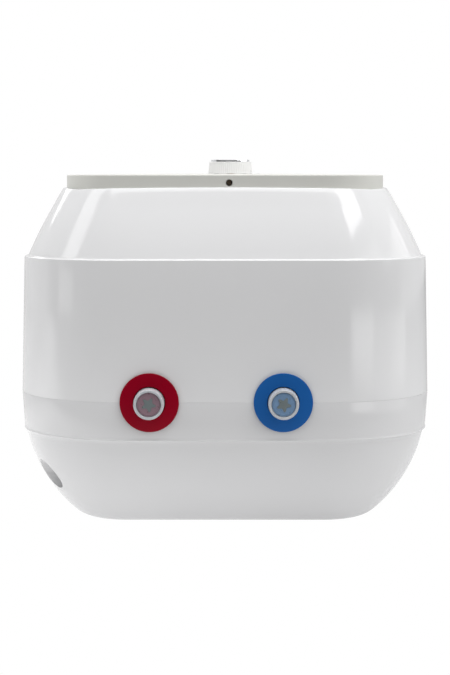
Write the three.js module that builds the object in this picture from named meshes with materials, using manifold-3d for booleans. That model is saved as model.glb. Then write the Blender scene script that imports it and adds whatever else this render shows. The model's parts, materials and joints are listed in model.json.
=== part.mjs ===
// A small tank water heater of about ten litres that hangs flat on a wall over a sink.
// Millimetres. +Z points out of the flat wall face through the knob, and the water pipes leave
// towards -Y, which is down in use. The origin is the centre of the flat wall face.
import * as THREE from "three";
import { mergeVertices } from "three/addons/utils/BufferGeometryUtils.js";
import Module from "manifold-3d";

const wasm = await Module();
wasm.setup();

// ---- driving dimensions -------------------------------------------------------------------

const GAP = 0.3; // left between neighbours that touch on the real object
const WALL = 2.5; // moulded casing walls
const CORNER = 76; // corner centres of every rounded-square section, from the middle
const CORNER_SIDES = 6; // facets round each corner

const SEAM_Z = 100; // joint of the two casing shells, and the height of both water pipes
const SEAM_W = 161; // half the casing's width at the seam, where it is widest
const BOWL = { x: 45.2, z: 91.7, r: 114.3, from: -49.5, to: -13 }; // round flank of the rear shell
const HEEL = { x: 106.4, z: 20, r: 20 }; // edge between the flat wall face and the flank
const STEP_TOP = { w: 159.3, z: 72.4 }; // small step under the belt
const BELT_TOP = { w: 158.1, z: 203 };
const CONE_FOOT = { w: 154.7, z: 207.3 };
const CONE_TOP = { w: 129.6, z: 254.2 };
const CONE_BULGE = 1.05; // how far the cone's flank stands proud of a straight line
const SHELL_TOP = 258.3;
const ACCESS_W = 95; // half the width of the service opening in the front shell

const PANEL = { w: 124.3, bottom: 258.9, edge: 269.3, middle: 270.3, round: 3 };
const PANEL_SCREW = { x: 3.2, z: 263.1, seat: -118.8, hole: 2.35, pilot: 1.55 };
const PANEL_HOOK = { x: 60, y: 111, halfW: 9 }; // two hooks that hold the panel's far edge
const LENS = { x: 4.4, y: -62, r: 3.6 };

const KNOB = { x: 4.4, r: 18.25, rTop: 17.4, bottom: 270.6, top: 280.1 };
const KNOB_CAP = { r: 15.9, seat: 279.4, edge: 281, top: 281.9 };
const SPINDLE_R = 3;
const THERMOSTAT_SCREW = { x: 11.5, hole: 2.2, shank: 1.8 };

const PIPE_SPACING = 100;
const HOT_X = -56.5;
const COLD_X = HOT_X + PIPE_SPACING;
const PIPE_R = 10.48; // G1/2 thread
const PIPE_BORE_R = 8;
const PIPE_END = 170.5; // how far the pipe ends stand out towards -Y
const PIPE_NECK = { r: 7, bore: 6, at: 118 }; // the thinner pipe that goes on into the tank
const RING = { r: 22.15, hole: 11.9, back: 161.3, edge: 162.6, front: 163.4 };
const RING_SLEEVE = { r: 13.6, length: 3.5, way: 14.2 }; // goes through the casing's joint
const CAP = { r: 11.45, rEnd: 11.1, disc: 9.3, open: 164, end: 174.5, recess: 1.2, thick: 1.4 };

const TANK = { r: 142, dome: 44, low: 16, high: 208, wall: 2, seam: 114 };
const FOAM_TOP = 214;

const FLANGE = { hole: 42, r: 57, studs: 50, face: 209, plate: 212.1, thick: 3 };
const STUD_COUNT = 6;
const ELEMENT = { x: 12, y: -14, r: 4, top: 228 };
const POCKET = { x: -24, y: 14, r: 5, top: 217, bottom: 118 };
const ANODE = { x: 24, y: 14, r: 8, bottom: 92 };

const SHELF = { z: 224, thick: 1.5, x0: -56, x1: 50, y0: -92, y1: -60 };
const BLOCK = { x0: -45, x1: 0, y0: -86, y1: -68, top: 240 };
const CUTOUT = { x: 27, y: -76, r: 9, top: 238 };
const RESET = { r: 2.2, top: 240.5, length: 6 };

const HANGER = { y: 64, halfX: 68, halfY: 16, thick: 2, slotX: 45, slotW: 14, slotH: 20 };
const CABLE = { y: -109, z: 37, r: 12, floor: -121, bore: 4, riser: -111 };

// ---- shapes -------------------------------------------------------------------------------

const v2 = (x, y) => new THREE.Vector2(x, y);
const v3 = (x, y, z) => new THREE.Vector3(x, y, z);
const radians = THREE.MathUtils.degToRad;

// A closed geometry as a solid, turned the right way out.
function solid(geometry) {
  const bare = geometry.index ? geometry.toNonIndexed() : geometry.clone();
  bare.deleteAttribute("normal");
  bare.deleteAttribute("uv");
  const merged = mergeVertices(bare, 1e-3);
  const vertProperties = merged.attributes.position.array;
  const triVerts = new Uint32Array(merged.index.array);
  const made = new wasm.Manifold(new wasm.Mesh({ numProp: 3, vertProperties, triVerts }));
  if (made.volume() > 0) return made;
  for (let i = 0; i < triVerts.length; i += 3) {
    [triVerts[i], triVerts[i + 1]] = [triVerts[i + 1], triVerts[i]];
  }
  return new wasm.Manifold(new wasm.Mesh({ numProp: 3, vertProperties, triVerts }));
}

function geometryOf(made) {
  const { numProp, vertProperties, triVerts } = made.getMesh();
  const geometry = new THREE.BufferGeometry();
  geometry.setAttribute("position", new THREE.BufferAttribute(vertProperties, numProp));
  geometry.setIndex(new THREE.BufferAttribute(triVerts, 1));
  geometry.computeVertexNormals();
  return geometry;
}

const join = (first, ...others) => others.reduce((sum, next) => sum.add(next), first);
const cut = (first, ...others) => others.reduce((rest, next) => rest.subtract(next), first);

function box(x0, x1, y0, y1, z0, z1) {
  const geometry = new THREE.BoxGeometry(x1 - x0, y1 - y0, z1 - z0);
  return solid(geometry.translate((x0 + x1) / 2, (y0 + y1) / 2, (z0 + z1) / 2));
}

// A round bar along +Z from z0 to z1.
function rod(x, y, z0, z1, r, sides = 12) {
  const geometry = new THREE.CylinderGeometry(r, r, z1 - z0, sides).rotateX(Math.PI / 2);
  return solid(geometry.translate(x, y, (z0 + z1) / 2));
}

// A round bar along +Y from y0 to y1.
function rodY(x, z, y0, y1, r, sides = 12) {
  const geometry = new THREE.CylinderGeometry(r, r, y1 - y0, sides);
  return solid(geometry.translate(x, (y0 + y1) / 2, z));
}

// A round bar along +X from x0 to x1.
function rodX(y, z, x0, x1, r, sides = 16) {
  const geometry = new THREE.CylinderGeometry(r, r, x1 - x0, sides).rotateZ(Math.PI / 2);
  return solid(geometry.translate((x0 + x1) / 2, y, z));
}

// A closed profile of [radius, z] points, turned about +Z.
function turned(profile, sides = 18) {
  const points = [...profile, profile[0]].map(([r, z]) => v2(r, z));
  return new THREE.LatheGeometry(points, sides).rotateX(Math.PI / 2);
}

// A closed profile of [half width, z] points, carried round a square with round corners:
// the profile is turned about +Z, and the four quarters are then moved apart.
function rounded(profile) {
  const points = [...profile, profile[0]].map(([w, z]) => v2(w, z));
  const half = Math.PI / CORNER_SIDES / 4;
  const geometry = new THREE.LatheGeometry(points, CORNER_SIDES * 4, half).rotateX(Math.PI / 2);
  const place = geometry.attributes.position;
  for (let i = 0; i < place.count; i += 1) {
    const x = place.getX(i);
    const y = place.getY(i);
    const w = Math.hypot(x, y);
    if (w < 1e-6) continue;
    const centre = Math.min(CORNER, 0.8 * w);
    const scale = (w - centre) / Math.cos(half) / w;
    place.setX(i, Math.sign(x) * centre + x * scale);
    place.setY(i, Math.sign(y) * centre + y * scale);
  }
  return solid(geometry);
}

// Points of a round stretch of a profile, angles in degrees from the outward direction.
function arc({ x, z, r }, from, to, parts) {
  const angles = Array.from({ length: parts + 1 }, (_, i) => from + ((to - from) * i) / parts);
  return angles.map((a) => [x + r * Math.cos(radians(a)), z + r * Math.sin(radians(a))]);
}

// Points of a slightly curved stretch of a profile, standing proud of its chord by rise.
function bowed([w0, z0], [w1, z1], rise, parts) {
  const along = v2(w1 - w0, z1 - z0).normalize();
  const middle = v2((w0 + w1) / 2 + 2 * rise * along.y, (z0 + z1) / 2 - 2 * rise * along.x);
  const curve = new THREE.QuadraticBezierCurve(v2(w0, z0), middle, v2(w1, z1));
  return curve.getPoints(parts).map((p) => [p.x, p.y]);
}

// A bar of round section along a smooth route.
function bar(route, r, sides, steps) {
  const ring = Array.from({ length: sides }, (_, i) => (i * 2 * Math.PI) / sides);
  const section = new THREE.Shape(ring.map((a) => v2(r * Math.cos(a), r * Math.sin(a))));
  const extrudePath = new THREE.CatmullRomCurve3(route.map(([x, y, z]) => v3(x, y, z)));
  return solid(new THREE.ExtrudeGeometry(section, { steps, extrudePath, bevelEnabled: false }));
}

// Bolt circle positions on the flange.
function boltCircle(r) {
  return Array.from({ length: STUD_COUNT }, (_, i) => {
    const a = radians(30 + (i * 360) / STUD_COUNT);
    return [r * Math.cos(a), r * Math.sin(a)];
  });
}

// ---- materials ----------------------------------------------------------------------------

const matter = (color, roughness, metalness = 0) =>
  new THREE.MeshStandardMaterial({ color, roughness, metalness });

const WHITE = matter(0xf1f1f2, 0.2);
const GREY = matter(0xc9c9c4, 0.4);
const RED = matter(0xa3061c, 0.25);
const BLUE = matter(0x2a63b0, 0.25);
const MILKY = matter(0xd5dadd, 0.5);
const CHROME = matter(0xe2e4e6, 0.08, 1);
const ZINC = matter(0xa9adb0, 0.4, 1);
const DARK_STEEL = matter(0x3a352f, 0.5, 0.6);
const ENAMEL = matter(0x24344f, 0.35);
const STAINLESS = matter(0xb9bbbd, 0.3, 1);
const COPPER = matter(0xb87650, 0.35, 1);
const MAGNESIUM = matter(0x9a9c9c, 0.6, 1);
const FOAM = matter(0xe9dfb4, 0.9);
const RUBBER = matter(0x222222, 0.8);
const BLACK = matter(0x2b2b2c, 0.5);
const IVORY = matter(0xe6e0cf, 0.5);
const AMBER = matter(0xe0701c, 0.2);
const BROWN_WIRE = matter(0x6b3a1e, 0.5);
const BLUE_WIRE = matter(0x2457a6, 0.5);
const GREEN_WIRE = matter(0x6fa22c, 0.5);

const heater = new THREE.Group();

function add(name, shape, look, parent = heater) {
  const mesh = new THREE.Mesh(geometryOf(shape.isBufferGeometry ? solid(shape) : shape), look);
  mesh.name = name;
  parent.add(mesh);
  return mesh;
}

// ---- casing -------------------------------------------------------------------------------

// Outline of the rear shell's outside, moved inwards by depth.
function bowlOutline(depth) {
  const heel = arc({ ...HEEL, r: HEEL.r - depth }, -90, BOWL.from, 2);
  const flank = arc({ ...BOWL, r: BOWL.r - depth }, BOWL.from, BOWL.to, 4).slice(1);
  return [[0, depth], ...heel, ...flank];
}

// The half-round way that both shells leave for a water pipe and its ring.
function pipeWays() {
  return [HOT_X, COLD_X].map((x) => rodY(x, SEAM_Z, -180, -150, RING_SLEEVE.way, 18));
}

function hangerWindow() {
  const { y, halfX, halfY } = HANGER;
  return box(-halfX - 1, halfX + 1, y - halfY - 1, y + halfY + 1, -1, WALL + 1);
}

function rearShell() {
  const top = SEAM_Z - GAP / 2;
  const outside = [[157.4, 67.4], [158.6, 69.4], [STEP_TOP.w, STEP_TOP.z], [SEAM_W, top]];
  const inside = [[SEAM_W - WALL, top], [STEP_TOP.w - WALL, 72.6], [154.8, 67]];
  const wall = [...bowlOutline(0), ...outside, ...inside, ...bowlOutline(WALL).reverse()];
  const tongue = rounded([[156.7, 88], [158.3, 92], [158.1, 104], [156.9, 104]]);
  const { y, z, r, floor } = CABLE;
  const cup = rodX(y, z, floor + WALL, -160, r + WALL);
  const envelope = rounded([...bowlOutline(0), [0, 66]]);
  const shell = join(rounded(wall), tongue, cup.intersect(envelope));
  const pocket = rodX(y, z, floor, -180, r);
  const gland = rodX(y, z, floor + 2 * WALL, floor - 1, 6.3);
  return cut(shell, pocket, gland, hangerWindow(), ...pipeWays());
}

function frontShell() {
  const bottom = SEAM_Z + GAP / 2;
  const foot = [CONE_FOOT.w, CONE_FOOT.z];
  const outside = [
    [SEAM_W, bottom],
    [BELT_TOP.w, BELT_TOP.z],
    ...arc({ x: BELT_TOP.w - 2, z: BELT_TOP.z + 1, r: 2 }, 30, 90, 2),
    [155, BELT_TOP.z + 3.2],
    ...bowed(foot, [CONE_TOP.w, CONE_TOP.z], CONE_BULGE, 3),
    [129, 255.9],
    [127.9, 257.5],
    [126.2, SHELL_TOP],
    [ACCESS_W, SHELL_TOP],
  ];
  const inside = [
    [ACCESS_W, SHELL_TOP - WALL],
    [125.2, SHELL_TOP - WALL],
    ...bowed([126.8, 253.4], [151.9, 206.3], -CONE_BULGE, 2),
    [153.4, 203.4],
    [155.6, 201.5],
    [SEAM_W - WALL, bottom],
  ];
  const { x, z, pilot } = PANEL_SCREW;
  const lug = box(x - 6, x + 6, -116.7, -109, 256, 265.7);
  const pilotHole = rodY(x, z, -120, -108, pilot, 12);
  const reach = PANEL_HOOK.halfW + 2;
  const slots = [-PANEL_HOOK.x, PANEL_HOOK.x].map((at) => {
    return box(at - reach, at + reach, PANEL_HOOK.y - 2, 118.5, 250, 262);
  });
  return cut(join(rounded([...outside, ...inside]), lug), pilotHole, ...slots, ...pipeWays());
}

function frontPanel() {
  const { w, bottom, edge, middle, round } = PANEL;
  const roof = edge - WALL;
  const profile = [
    [w, bottom],
    ...arc({ x: w - round, z: edge - round, r: round }, 0, 90, 2),
    [0, middle],
    [0, middle - WALL],
    [w - WALL - round, roof],
    [w - WALL, roof - round],
    [w - WALL, bottom],
  ];
  const screw = PANEL_SCREW;
  const screwBoss = rodY(screw.x, screw.z, -123, -117, 4.4);
  const screwSpots = [-1, 1].map((side) => KNOB.x + side * THERMOSTAT_SCREW.x);
  const bosses = screwSpots.map((x) => rod(x, 0, 262.3, 268.5, 4));
  const hooks = [-PANEL_HOOK.x, PANEL_HOOK.x].flatMap((x) => {
    const { y, halfW } = PANEL_HOOK;
    const arm = box(x - halfW, x + halfW, y, y + 2.5, 252, roof + 0.3);
    const barb = box(x - halfW, x + halfW, y, y + 5.5, 252, 254.8);
    return [arm, barb];
  });
  const holes = [
    rodY(screw.x, screw.z, -130, screw.seat + GAP, screw.hole),
    rodY(screw.x, screw.z, -120, -110, screw.pilot, 12),
    rod(KNOB.x, 0, 260, 275, SPINDLE_R + 1.2),
    rod(LENS.x, LENS.y, 260, 275, LENS.r + GAP),
    ...screwSpots.map((x) => rod(x, 0, 260, 275, THERMOSTAT_SCREW.hole, 12)),
  ];
  return cut(join(rounded(profile), screwBoss, ...bosses, ...hooks), ...holes);
}

add("rear_shell", rearShell(), WHITE);
add("front_shell", frontShell(), WHITE);
add("front_panel", frontPanel(), GREY);

// A pan-head screw along its own +Z, its head's underside at 0.
function screw(headR, headH, shankR, shankLength) {
  const profile = [
    [0, -shankLength],
    [shankR, -shankLength],
    [shankR, 0],
    [headR, 0],
    [headR, headH * 0.6],
    [headR * 0.7, headH],
    [0, headH],
  ];
  return turned(profile, 8);
}

const panelScrew = add("panel_screw", screw(2.05, 1.7, 1.25, 8), DARK_STEEL);
panelScrew.position.set(PANEL_SCREW.x, PANEL_SCREW.seat, PANEL_SCREW.z);
panelScrew.rotation.x = Math.PI / 2;

// ---- indicator ----------------------------------------------------------------------------

const lens = [[0, 262], [LENS.r, 262], [LENS.r, 270], [LENS.r - 0.4, 270.4], [0, 270.5]];
add("indicator_lens", turned(lens, 14), AMBER).position.set(LENS.x, LENS.y, 0);
const lamp = [[0, 244], [2.6, 244], [2.6, 257], [2, 260], [0, 261.4]];
add("indicator_lamp", turned(lamp, 12), IVORY).position.set(LENS.x, LENS.y, 0);

// ---- knob and thermostat ------------------------------------------------------------------

const controls = new THREE.Group();
controls.position.x = KNOB.x;
heater.add(controls);

// A bar with one flat, so that the knob can't slip on its spindle.
function flattedRod(r, z0, z1) {
  return rod(0, 0, z0, z1, r, 14).subtract(box(r * 0.75, r * 2, -r, r, z0 - 1, z1 + 1));
}

function knob() {
  const { r, rTop, bottom, top } = KNOB;
  const profile = [
    [r - 2, bottom],
    [r, bottom],
    [rTop, top - 0.4],
    [rTop - 0.4, top],
    [16.3, top],
    [16.3, top - 1],
    [0, top - 1],
    [0, bottom + 0.6],
    [5.2, bottom + 0.6],
    [5.2, top - 3.5],
    [rTop - 2, top - 3.5],
  ];
  return solid(turned(profile, 28)).subtract(flattedRod(SPINDLE_R + GAP, bottom, top - 2.6));
}

function knobCap() {
  const { r, seat, edge, top } = KNOB_CAP;
  const rim = [[0, seat], [r, seat], [r, edge - 0.5], [r - 0.5, edge]];
  return turned([...rim, ...bowed([r - 1, edge], [0, top], 0.2, 3)], 28);
}

function spindle() {
  const shaft = rod(0, 0, 254.5, 268.5, SPINDLE_R, 14);
  return join(shaft, flattedRod(SPINDLE_R, 268, KNOB.top - 3));
}

function thermostat() {
  const body = box(-21, 21, -17, 17, 240, 262);
  const tabs = [-8, 8].map((x) => box(x - 0.4, x + 0.4, -3, 3, 232, 241));
  const { x: screwX, hole } = THERMOSTAT_SCREW;
  const holes = [-screwX, screwX].map((x) => rod(x, 0, 255, 263, hole, 12));
  return cut(join(body, ...tabs), rod(0, 0, 254, 263, SPINDLE_R + GAP + 0.1, 14), ...holes);
}

add("knob", knob(), WHITE, controls);
add("knob_cap", knobCap(), CHROME, controls);
add("thermostat_spindle", spindle(), ZINC, controls);
add("thermostat_body", thermostat(), BLACK, controls);
[-1, 1].forEach((side, i) => {
  const shape = screw(3.1, 1.9, THERMOSTAT_SCREW.shank, 14);
  const mesh = add(`thermostat_screw_${i + 1}`, shape, ZINC, controls);
  mesh.position.set(side * THERMOSTAT_SCREW.x, 0, PANEL.middle + GAP);
});

// ---- water pipes, their rings and transport caps --------------------------------------------

// Everything here is turned about the pipes: its +Z is the side that the pipes leave by.
const pipeSide = new THREE.Group();
pipeSide.position.z = SEAM_Z;
pipeSide.rotation.x = Math.PI / 2;
heater.add(pipeSide);

function pipe(innerEnd) {
  const { r, bore, at } = PIPE_NECK;
  return turned([
    [PIPE_BORE_R, PIPE_END],
    [PIPE_R - 1, PIPE_END],
    [PIPE_R, PIPE_END - 1.2],
    [PIPE_R, at],
    [r, at],
    [r, innerEnd],
    [bore, innerEnd],
    [bore, at + 2],
    [PIPE_BORE_R, at + 2],
  ]);
}

function ring() {
  const { r, hole, back, edge, front } = RING;
  const { r: sleeveR, length } = RING_SLEEVE;
  const sleeve = [[hole, back - length], [sleeveR, back - length], [sleeveR, back]];
  return turned([...sleeve, [r, back], [r, edge], [hole, front]], 24);
}

// A push-on cap: an open sleeve over the pipe's thread, closed by a disc set in its end.
function transportCap() {
  const { r, rEnd, disc, open, end, recess, thick } = CAP;
  const face = end - recess;
  return turned([
    [PIPE_R + GAP, open],
    [r, open],
    [r, end - 1],
    [rEnd, end],
    [disc, end],
    [disc, face],
    [0, face],
    [0, face - thick],
    [disc - 0.5, face - thick],
    [disc + 0.6, PIPE_END + GAP],
    [PIPE_R + GAP, PIPE_END - 1],
  ]);
}

// A cup over the end of the cold pipe that spreads the incoming water sideways.
function diffuser() {
  const shell = solid(turned([[0, 99], [12, 99], [12, 117], [9, 117], [9, 101], [0, 101]], 14));
  return cut(shell, box(-20, 20, -2.5, 2.5, 103, 112), box(-2.5, 2.5, -20, 20, 103, 112));
}

function connection(name, x, innerEnd, colour) {
  add(`${name}_pipe`, pipe(innerEnd), STAINLESS, pipeSide).position.x = x;
  add(`${name}_ring`, ring(), colour, pipeSide).position.x = x;
  add(`${name}_cap`, transportCap(), MILKY, pipeSide).position.x = x;
}

connection("hot", HOT_X, -112, RED);
connection("cold", COLD_X, 104, BLUE);
add("cold_diffuser", diffuser(), IVORY, pipeSide).position.x = COLD_X;

// ---- tank ---------------------------------------------------------------------------------

// Outline of the tank's outside, grown by extra: a drum with two dished ends.
function tankOutline(extra, from, to) {
  const { r, dome, low, high } = TANK;
  const parts = 4;
  const points = [];
  for (let i = 0; i <= parts; i += 1) {
    const a = radians((90 * i) / parts);
    const out = (r + extra) * Math.sin(a);
    const up = (dome + extra) * Math.cos(a);
    points.push([out, low + dome - up]);
    points.unshift([out, high - dome + up]);
  }
  return points.filter(([, z]) => z >= from && z <= to);
}

function tankSolid(extra) {
  return solid(turned(tankOutline(extra, -50, 300), 28));
}

function tankPorts() {
  return [HOT_X, COLD_X].map((x) => rodY(x, SEAM_Z, -160, -110, PIPE_R + GAP, 18));
}

function tankHalf(z0, z1) {
  const slice = box(-160, 160, -160, 160, z0, z1);
  return cut(tankSolid(0), tankSolid(-TANK.wall)).intersect(slice);
}

function tankFront() {
  const { hole, r, studs, face } = FLANGE;
  const collar = rod(0, 0, face - 5.4, face, r, 24);
  const hollow = tankSolid(-TANK.wall);
  const pins = boltCircle(studs).map(([x, y]) => rod(x, y, face - 2, 224, 2.9, 8));
  const whole = join(tankHalf(TANK.seam + GAP, 260), collar.subtract(hollow), ...pins);
  return whole.subtract(rod(0, 0, 195, face + 1, hole, 24));
}

add("tank_rear_half", cut(tankHalf(0, TANK.seam), ...tankPorts()), ENAMEL);
add("tank_front_half", tankFront(), ENAMEL);

// ---- insulation -----------------------------------------------------------------------------

// The room that the insulation leaves for pipes, hooks and the mains cable's way to the front.
function foamWays() {
  const { y, halfX, halfY } = HANGER;
  const pipes = [HOT_X, COLD_X].map((x) => rodY(x, SEAM_Z, -170, -110, 14.6));
  const hooks = box(-halfX - 2, halfX + 2, y - halfY - 2, y + halfY + 2, -1, 40);
  const cup = rodX(CABLE.y, CABLE.z, CABLE.floor + WALL + GAP, -170, CABLE.r + WALL + 0.6);
  const gland = rodX(CABLE.y, CABLE.z, CABLE.floor, CABLE.riser + 5, 9.5);
  const riser = rod(CABLE.riser, CABLE.y, CABLE.z, FOAM_TOP + 1, 5.5);
  return [...pipes, hooks, cup, gland, riser];
}

function rearFoam() {
  const top = SEAM_Z - GAP;
  const outline = [...bowlOutline(WALL + 0.5), [155.6, 72.6], [155.8, top], [0, top]];
  return cut(rounded(outline), tankSolid(0.4), ...foamWays());
}

function frontFoam() {
  const outline = [
    [0, SEAM_Z],
    [155.6, SEAM_Z],
    [152.6, 203],
    [149.9, 209],
    [146.6, FOAM_TOP],
    [0, FOAM_TOP],
  ];
  const service = rod(0, 0, 190, FOAM_TOP + 1, FLANGE.r + 5, 20);
  return cut(rounded(outline), tankSolid(0.4), service, ...foamWays());
}

add("rear_insulation", rearFoam(), FOAM);
add("front_insulation", frontFoam(), FOAM);

// ---- flange with everything that reaches into the tank ---------------------------------------

function flangePlate() {
  const { r, studs, plate, thick } = FLANGE;
  const holes = [
    ...boltCircle(studs).map(([x, y]) => rod(x, y, plate - 1, plate + thick + 1, 3.4, 8)),
    ...[-1, 1].map((side) => rod(side * ELEMENT.x, ELEMENT.y, 200, 220, ELEMENT.r + 0.4)),
    rod(POCKET.x, POCKET.y, 200, 220, POCKET.r + GAP),
    rod(ANODE.x, ANODE.y, 200, 220, 4.3),
  ];
  return cut(rod(0, 0, plate, plate + thick, r, 24), ...holes);
}

function gasket() {
  const { hole, r, studs, face, plate } = FLANGE;
  const band = rod(0, 0, face + GAP, plate - GAP, r - 1, 24);
  const holes = boltCircle(studs).map(([x, y]) => rod(x, y, face, plate, 3.4, 8));
  return cut(band, rod(0, 0, face, plate, hole, 24), ...holes);
}

function nut(across, height, bore) {
  const r = across / Math.sqrt(3);
  return cut(rod(0, 0, 0, height, r, 6), rod(0, 0, -1, height + 1, bore, 8));
}

const plateTop = FLANGE.plate + FLANGE.thick;
add("flange_plate", flangePlate(), STAINLESS);
add("flange_gasket", gasket(), RUBBER);
// The two studs on the pipe side also hold the control bracket.
const holdsBracket = ([x, y]) => y < 0 && Math.abs(x) > 1;
boltCircle(FLANGE.studs).forEach(([x, y], i) => {
  const lift = holdsBracket([x, y]) ? SHELF.thick + GAP : 0;
  add(`flange_nut_${i + 1}`, nut(10, 5, 3.4), ZINC).position.set(x, y, plateTop + GAP + lift);
});

// A rod bent down into the tank, forward over its lower part and back up again.
function heatingElement() {
  const { x, y, r, top } = ELEMENT;
  const down = [
    [x, y, top],
    [x, y, 209],
    [x, y, 190],
    [x + 1, y - 3, 150],
    [26, -36, 100],
    [27, -68, 62],
    [12, -92, 50],
  ];
  const up = down.map(([px, py, pz]) => [-px, py, pz]).reverse();
  return bar([...down, ...up], r, 8, 34);
}

const pocketProfile = [
  [0, POCKET.bottom],
  [POCKET.r, POCKET.bottom],
  [POCKET.r, POCKET.top],
  [3.8, POCKET.top],
  [3.8, POCKET.bottom + 1.2],
  [0, POCKET.bottom + 1.2],
];
add("heating_element", heatingElement(), COPPER);
add("sensor_pocket", turned(pocketProfile, 12), COPPER).position.set(POCKET.x, POCKET.y, 0);

// Bulb of the thermostat with the thin tube that leads from it to the thermostat's underside.
function sensorBulb() {
  const { x, y, top } = POCKET;
  const tube = [
    [x, y, 180],
    [x, y, top - 6],
    [x, y, top + 4],
    [x + 6, y + 3, top + 12],
    [KNOB.x - 4, 12, 234],
    [KNOB.x, 12, 239.5],
  ];
  return join(rod(x, y, 122, 186, 3, 8), bar(tube, 0.9, 5, 14));
}

const anodeProfile = [
  [0, ANODE.bottom],
  [ANODE.r, ANODE.bottom],
  [ANODE.r, FLANGE.plate - 0.6],
  [4, FLANGE.plate - 0.6],
  [4, 224],
  [0, 224],
];
add("sensor_bulb", sensorBulb(), COPPER);
add("anode_rod", turned(anodeProfile, 12), MAGNESIUM).position.set(ANODE.x, ANODE.y, 0);
add("anode_nut", nut(13, 5, 4.5), ZINC).position.set(ANODE.x, ANODE.y, plateTop + GAP);

// ---- electrical parts in front of the flange --------------------------------------------------

// A sheet-steel bracket under two flange nuts that carries the terminal block and the cut-out.
function controlBracket() {
  const { z, thick, x0, x1, y0, y1 } = SHELF;
  const foot = plateTop + GAP;
  const shelf = box(x0, x1, y0, y1, z, z + thick);
  const legs = boltCircle(FLANGE.studs)
    .filter(holdsBracket)
    .flatMap(([x, y]) => [
      rod(x, y, foot, foot + thick, 8),
      box(x - 7, x + 7, y1 - thick, y, foot, foot + thick),
      box(x - 7, x + 7, y1 - thick, y1, foot, z + thick),
    ]);
  const studHoles = boltCircle(FLANGE.studs).map(([x, y]) => rod(x, y, foot - 1, foot + 3, 3.4, 8));
  const screwHoles = blockScrews().map(([x, y]) => rod(x, y, z - 1, z + 3, 1.8, 12));
  return cut(join(shelf, ...legs), ...studHoles, ...screwHoles);
}

function blockScrews() {
  const y = (BLOCK.y0 + BLOCK.y1) / 2;
  return [[BLOCK.x0 - 4, y], [BLOCK.x1 + 4, y]];
}

function terminalBlock() {
  const { x0, x1, y0, y1, top } = BLOCK;
  const low = SHELF.z + SHELF.thick + GAP;
  const pitch = (x1 - x0) / 3;
  const wells = [0.5, 1.5, 2.5].map((n) => rod(x0 + n * pitch, (y0 + y1) / 2, top - 7, top + 1, 3.2));
  const slits = [1, 2].map((n) => {
    const x = x0 + n * pitch;
    return box(x - 1, x + 1, y0 - 1, y1 + 1, top - 4, top + 1);
  });
  const ears = box(x0 - 8, x1 + 8, y0 + 4, y1 - 4, low, low + 3);
  const holes = blockScrews().map(([x, y]) => rod(x, y, low - 1, low + 4, 1.8, 12));
  return cut(join(box(x0, x1, y0, y1, low, top), ears), ...wells, ...slits, ...holes);
}

function thermalCutout() {
  const { x, y, r, top } = CUTOUT;
  const low = SHELF.z + SHELF.thick + GAP;
  const well = rod(x, y, top - RESET.length, top + 1, RESET.r + 0.4);
  return rod(x, y, low, top, r, 16).subtract(well);
}

add("control_bracket", controlBracket(), ZINC);
add("terminal_block", terminalBlock(), IVORY);
blockScrews().forEach(([x, y], i) => {
  const head = SHELF.z + SHELF.thick + GAP + 3 + GAP;
  add(`terminal_block_screw_${i + 1}`, screw(2.8, 1.9, 1.5, 8), ZINC).position.set(x, y, head);
});
add("thermal_cutout", thermalCutout(), BLACK);
const reset = [[0, 0], [RESET.r, 0], [RESET.r, -RESET.length + 0.2], [0, -RESET.length + 0.2]];
add("reset_button", turned(reset, 12), RED).position.set(CUTOUT.x, CUTOUT.y, RESET.top);

// Single-core wires. Each route runs from one terminal to the next through the free room.
function wire(name, route, look) {
  add(name, bar(route, 1.1, 5, 12), look);
}

const blockFace = BLOCK.y1 + 1.6;
const cutoutFace = CUTOUT.y + CUTOUT.r + 1.8;
const liveTab = [KNOB.x - 8, 0, 230.4];
const switchedTab = [KNOB.x + 8, 0, 230.4];
const neutral = [[-22, blockFace, 232], [-22, -50, 236], [-15, -26, 235], [-12, -14, 230]];
const earth = [[-8, blockFace, 230], [-10, -58, 228], [-11, -48, 222], [-9, -38, 217]];
const toElement = [[23, cutoutFace, 230], [22, -50, 232], [15, -28, 233], [12, -14, 230]];
wire("wire_live", [[-37, blockFace, 234], [-36, -52, 237], [-22, -20, 232], liveTab], BROWN_WIRE);
wire("wire_neutral", neutral, BLUE_WIRE);
wire("wire_earth", earth, GREEN_WIRE);
wire("wire_switched", [switchedTab, [20, -14, 236], [30, -45, 238], [29, cutoutFace, 234]], BROWN_WIRE);
wire("wire_element", toElement, BROWN_WIRE);

// ---- wall fixing and cable gland --------------------------------------------------------------

// A steel strap across the tank's back with two slots for the hooks in the wall.
function wallBracket() {
  const { y, halfX, halfY, thick, slotX, slotW, slotH } = HANGER;
  const strap = box(-halfX, halfX, y - halfY, y + halfY, 0, thick);
  const slots = [-slotX, slotX].map((x) => {
    return box(x - slotW / 2, x + slotW / 2, y - slotH / 2, y + slotH / 2, -1, thick + 1);
  });
  const legs = [-halfX, halfX - thick].map((x) => {
    return box(x, x + thick, y - halfY, y + halfY, 0, 30).subtract(tankSolid(0.4));
  });
  return cut(join(strap, ...legs), ...slots);
}

// A rubber bush in the floor of the side pocket.
function cableGrommet() {
  const { y, z, floor, bore } = CABLE;
  const parts = [
    rodX(y, z, floor - GAP - 2.3, floor - GAP, 8.5),
    rodX(y, z, floor - 1, floor + WALL + 1, 6),
    rodX(y, z, floor + WALL + GAP, floor + WALL + 2, 8),
  ];
  return cut(join(...parts), rodX(y, z, floor - 9, floor + 9, bore));
}

add("wall_bracket", wallBracket(), ZINC);
add("cable_grommet", cableGrommet(), RUBBER);

export default heater;
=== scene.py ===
"""A small tank water heater, lying on its flat wall face, in a white studio.

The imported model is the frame. Fine meshes replace the visible nodes, and the inner nodes keep their
shapes and get better materials. Lengths named here are in millimetres, in the frame's own axes.
"""

import json
import math

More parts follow.
